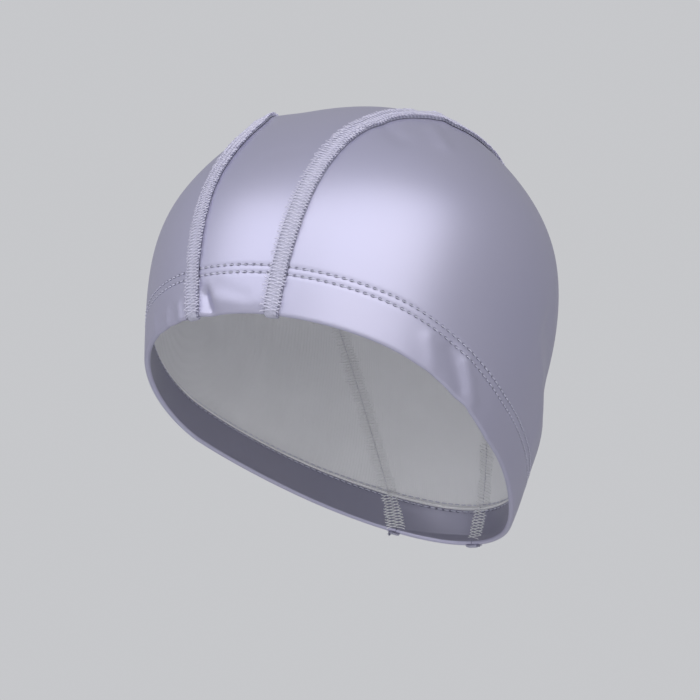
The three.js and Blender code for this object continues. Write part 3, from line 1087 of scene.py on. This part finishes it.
def place_camera():
    bpy.context.scene.view_settings.view_transform = "Standard"
    right, up, back = camera_axes()
    data = bpy.data.cameras.new("camera")
    data.sensor_width = SENSOR_WIDTH
    data.lens = CAMERA["lens"]
    data.clip_start = 0.01
    camera = bpy.data.objects.new("camera", data)
    bpy.context.scene.collection.objects.link(camera)
    eye = back * CAMERA["distance"] + right * CAMERA["right"] + up * CAMERA["up"]
    eye = eye - CROWN_UNDERSIDE
    turn = Matrix([list(right), list(up), list(back)]).transposed().to_4x4()
    camera.matrix_world = Matrix.Translation(Vector(eye)) @ turn
    bpy.context.scene.camera = camera


# Studio: lights are placed from the camera's own axes round the middle of the cap
LIGHTS = [
    dict(name="key", right=0.14, up=0.68, back=0.95, size=1.5, watts=9.8, tint=(1, 1, 1)),
    dict(name="left", right=-0.85, up=0.60, back=0.45, size=0.9, watts=3.6, tint=(0.94, 0.95, 1)),
    dict(name="low", right=0.1, up=-0.6, back=0.6, size=0.7, watts=7.5, tint=(1, 1, 1)),
]
WORLD_LIGHT = (0.86, 0.87, 0.90)
WORLD_STRENGTH = 0.38
BACKDROP_STRENGTH = 0.66
FLOOR_DROP = 0.36
FLOOR_REACH = 4.0
FLOOR_TONES = ((0.80, 0.80, 0.81), (0.83, 0.83, 0.84))


def light_cap(centre):
    """The lamps, each turned to the middle of the cap."""
    right, up, back = camera_axes()
    for light in LIGHTS:
        data = bpy.data.lights.new(light["name"], "AREA")
        data.size = light["size"]
        data.energy = light["watts"]
        data.color = light["tint"]
        lamp = bpy.data.objects.new(light["name"], data)
        place = centre + right * light["right"] + up * light["up"] + back * light["back"]
        lamp.location = place
        lamp.rotation_euler = Vector(centre - place).to_track_quat("-Z", "Y").to_euler()
        bpy.context.scene.collection.objects.link(lamp)


def pale_world():
    """Even light from all round, which the camera sees as a brighter plain backdrop."""
    world = bpy.data.worlds.new("studio")
    world.use_nodes = True
    nodes, links = world.node_tree.nodes, world.node_tree.links
    light = nodes["Background"]
    seen = nodes.new("ShaderNodeBackground")
    for shade, strength in ((light, WORLD_STRENGTH), (seen, BACKDROP_STRENGTH)):
        shade.inputs[0].default_value = (*WORLD_LIGHT, 1)
        shade.inputs[1].default_value = strength
    ray = nodes.new("ShaderNodeLightPath")
    either = nodes.new("ShaderNodeMixShader")
    links.new(ray.outputs["Is Camera Ray"], either.inputs[0])
    links.new(light.outputs[0], either.inputs[1])
    links.new(seen.outputs[0], either.inputs[2])
    links.new(either.outputs[0], nodes["World Output"].inputs[0])
    bpy.context.scene.world = world


def pale_floor(level):
    pale, nodes, links, shader, place = finish_tree("pale_floor", 0.8, 0)
    tone = noise_node(nodes, links, place.outputs["Object"], 3, 1)
    links.new(mix_colours(nodes, links, tone, *FLOOR_TONES), shader.inputs["Base Color"])
    mesh = bpy.data.meshes.new("floor")
    corners = [
        (across * FLOOR_REACH, along * FLOOR_REACH, level)
        for across, along in ((-1, -1), (1, -1), (1, 1), (-1, 1))
    ]
    mesh.from_pydata(corners, [], [[0, 1, 2, 3]])
    mesh.materials.append(pale)
    floor = bpy.data.objects.new("floor", mesh)
    bpy.context.scene.collection.objects.link(floor)


def build_studio():
    low, high = (np.array(corner) for corner in CAD_BOX)
    light_cap((low + high) / 2)
    pale_world()
    pale_floor(low[2] - FLOOR_DROP)


def sew_hem_and_seams():
    """Every row of threads and the hem's raw edge, outside and inside."""
    tree = row_tree()
    hem_thread = thread_finish("hem_thread", **HEM_THREAD)
    seam_thread = thread_finish("seam_thread", **SEAM_THREAD)
    threads = []
    for name, inside in (("hem_stitches", False), ("hem_stitches_inside", True)):
        places, turns = row_of(hem_rows(inside), STITCH_PITCH)
        threads.append(thread_row(
            name, places, turns, hem_stitch(), THREAD_RADIUS, hem_thread, tree
        ))
    knit_thread = thread_finish("knit_thread", KNIT["dark"], KNIT["light"])
    threads.append(raw_edge(knit_thread))
    for side, word in ((1, "left"), (-1, "right")):
        for inside, suffix, finish in ((False, "", seam_thread), (True, "_inside", knit_thread)):
            places, turns = row_of([seam_line(side, inside)], LOOP_PITCH)
            threads.append(thread_row(
                f"seam_{word}_threads{suffix}", places, turns, cross_threads(side),
                LOOP_RADIUS, finish, tree, SEAM_UNEVENNESS
            ))
    return threads


def build_cap():
    panels = {
        "centre_panel": strip_panel(),
        "side_panel_left": side_panel(1, "side_panel_left_cloth"),
        "side_panel_right": side_panel(-1, "side_panel_right_cloth"),
    }
    bands = {
        "seam_left": seam_band(1, "seam_left_band"),
        "seam_right": seam_band(-1, "seam_right_band"),
    }
    for node, piece in {**panels, **bands}.items():
        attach(piece, "root")
        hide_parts(node)
    for piece in sew_hem_and_seams():
        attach(piece, "root")


place_camera()
build_studio()
build_cap()
